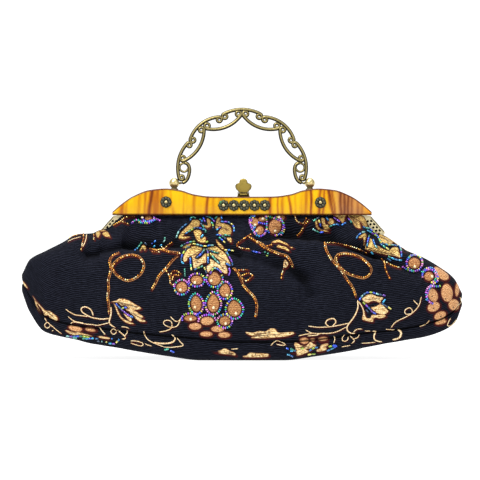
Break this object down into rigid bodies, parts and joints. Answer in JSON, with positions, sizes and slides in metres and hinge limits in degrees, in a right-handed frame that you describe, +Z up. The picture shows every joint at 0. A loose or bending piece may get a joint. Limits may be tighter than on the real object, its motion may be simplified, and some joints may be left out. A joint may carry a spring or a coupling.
{
  "type": "beaded tapestry evening bag",
  "caption": "Soft boat-shaped evening bag of dark beaded tapestry on an amber resin frame with pierced metal arms, a scrolled swing handle on ball studs and a lift-tab clasp.",
  "frame": {"origin": "middle of the flat patch of the base that the bag rests on", "axes": "+X along the frame to the bag's right seen from the front, +Y to the back, +Z up"},
  "size_m": [0.37, 0.0998, 0.2099],
  "materials": {
    "tapestry": "dark corded tapestry weave with gold grapevine motifs, seed beads, bugle beads and pearls",
    "amber_resin": "polished marbled amber resin with brown streaks",
    "antique_brass": "pale antique brass, polished on the high places and dark in the recesses",
    "dark_bronze": "dark aged bronze with a little verdigris"
  },
  "bodies": {
    "bag": {"front_panel": "tapestry", "base_panel": "tapestry", "back_panel": "tapestry", "frame_front": "amber_resin", "frame_back": "amber_resin", "arm_front_left": "antique_brass", "arm_front_right": "antique_brass", "arm_back_left": "antique_brass", "arm_back_right": "antique_brass", "hinge_pin_left": "antique_brass", "hinge_pin_right": "antique_brass", "ball_stud_left": "antique_brass", "ball_stud_right": "antique_brass", "clasp_seat": "antique_brass", "rivet_row_1": "antique_brass", "rivet_row_2": "antique_brass", "rivet_row_3": "antique_brass", "rivet_row_4": "antique_brass", "rivet_row_5": "antique_brass", "rivet_left": "antique_brass", "rivet_right": "antique_brass", "rosette_row": "dark_bronze", "rosette_left": "dark_bronze", "rosette_right": "dark_bronze"},
    "handle": {"handle": "antique_brass"},
    "clasp": {"clasp_tab": "antique_brass"}
  },
  "joints": [
    {"name": "handle_swing", "type": "hinge", "parent": "bag", "child": "handle", "pos_m": [0, 0.0047, 0.1469], "axis": [1, 0, 0], "range_deg": [-100, 100]},
    {"name": "clasp_lift", "type": "hinge", "parent": "bag", "child": "clasp", "pos_m": [0.0012, 0.0047, 0.1382], "axis": [-1, 0, 0], "range_deg": [0, 55]}
  ]
}
